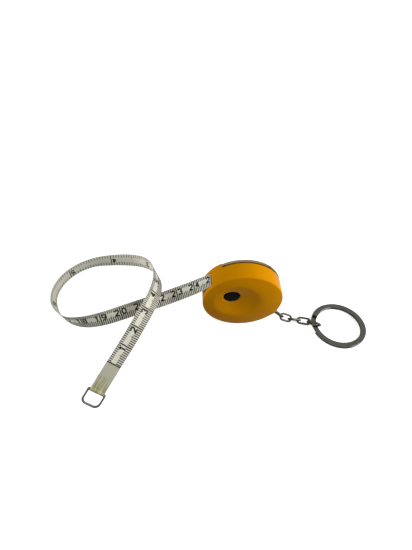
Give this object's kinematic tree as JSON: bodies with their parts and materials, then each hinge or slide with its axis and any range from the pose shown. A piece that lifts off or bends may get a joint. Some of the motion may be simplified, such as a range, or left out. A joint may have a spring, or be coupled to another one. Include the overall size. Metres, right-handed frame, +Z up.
{
  "type": "key-ring tape measure",
  "caption": "Small round spring-return tape measure with a push-button brake, its printed cloth band drawn out in a loop, a wire pull ring on the band's end and a chain with a split ring.",
  "frame": {"origin": "centre of the back cover's outer flat face", "axes": "+Y out of the back cover's flat face along the case's axis, the button faces -Y; +Z up as the case stands on its rim; +X to the right seen from the button side"},
  "size_m": [0.168, 0.0896, 0.0396],
  "materials": {
    "amber_plastic": "glossy amber yellow moulding",
    "chrome_cover": "bright plated pressing",
    "black_plastic": "glossy black moulding",
    "white_plastic": "plain off-white moulding",
    "spring_steel": "plain spring steel",
    "black_rubber": "matt rubber",
    "tape_cloth": "coated off-white cloth band",
    "tab_plastic": "plain folded end tab",
    "steel_wire": "plated steel wire, lightly worn"
  },
  "bodies": {
    "case": {"front_shell": "amber_plastic", "back_cover": "chrome_cover", "spindle": "steel_wire", "mainspring": "spring_steel", "return_spring": "spring_steel", "anchor_pin": "steel_wire", "tape_free": "tape_cloth", "end_tab": "tab_plastic"},
    "spool": {"spool_drum": "white_plastic", "drum_cap": "white_plastic", "tape_winding": "tape_cloth"},
    "button": {"brake_button": "black_plastic", "brake_plate": "spring_steel", "brake_pad": "black_rubber"},
    "pull_ring": {"pull_ring": "steel_wire"},
    "anchor_link": {"anchor_link": "steel_wire"},
    "chain_link_1": {"chain_link_1": "steel_wire"},
    "chain_link_2": {"chain_link_2": "steel_wire"},
    "chain_link_3": {"chain_link_3": "steel_wire"},
    "chain_link_4": {"chain_link_4": "steel_wire"},
    "split_ring": {"split_ring": "steel_wire"}
  },
  "joints": [
    {"name": "spool_spin", "type": "hinge", "parent": "case", "child": "spool", "pos_m": [-0.00551, -0.0056, 0.0044], "axis": [0, -1, 0], "range_deg": [-1380, 5480], "deforming": ["mainspring"]},
    {"name": "button_press", "type": "slide", "parent": "case", "child": "button", "axis": [0, 1, 0], "range_m": [0, 0.0008], "stiffness_N_per_m": 300, "deforming": ["return_spring"]},
    {"name": "pull_ring_swing", "type": "hinge", "parent": "case", "child": "pull_ring", "pos_m": [-0.06864, -0.04845, -0.014], "axis": [0.7875, -0.2426, -0.5666], "range_deg": [-150, 150]},
    {"name": "anchor_swing", "type": "hinge", "parent": "case", "child": "anchor_link", "pos_m": [0.01449, -0.0079, -0.0087], "axis": [0, 1, 0], "range_deg": [-8, 8]},
    {"name": "link_1_swing", "type": "hinge", "parent": "anchor_link", "child": "chain_link_1", "pos_m": [0.02201, -0.01114, -0.0139], "axis": [0.2982, -0.6593, 0.6902], "range_deg": [-35, 35]},
    {"name": "link_2_swing", "type": "hinge", "parent": "chain_link_1", "child": "chain_link_2", "pos_m": [0.0269, -0.01132, -0.01626], "axis": [0.1357, 0.8499, 0.5091], "range_deg": [-35, 35]},
    {"name": "link_3_swing", "type": "hinge", "parent": "chain_link_2", "child": "chain_link_3", "pos_m": [0.03192, -0.01084, -0.01821], "axis": [-0.1518, -0.1038, 0.983], "range_deg": [-35, 35]},
    {"name": "link_4_swing", "type": "hinge", "parent": "chain_link_3", "child": "chain_link_4", "pos_m": [0.03705, -0.01268, -0.0173], "axis": [0.3693, 0.8893, 0.2698], "range_deg": [-35, 35]},
    {"name": "split_ring_turn", "type": "hinge", "parent": "chain_link_4", "child": "split_ring", "pos_m": [0.05162, -0.01488, -0.01764], "axis": [0.0137, 0.0937, 0.9955], "continuous": true}
  ]
}
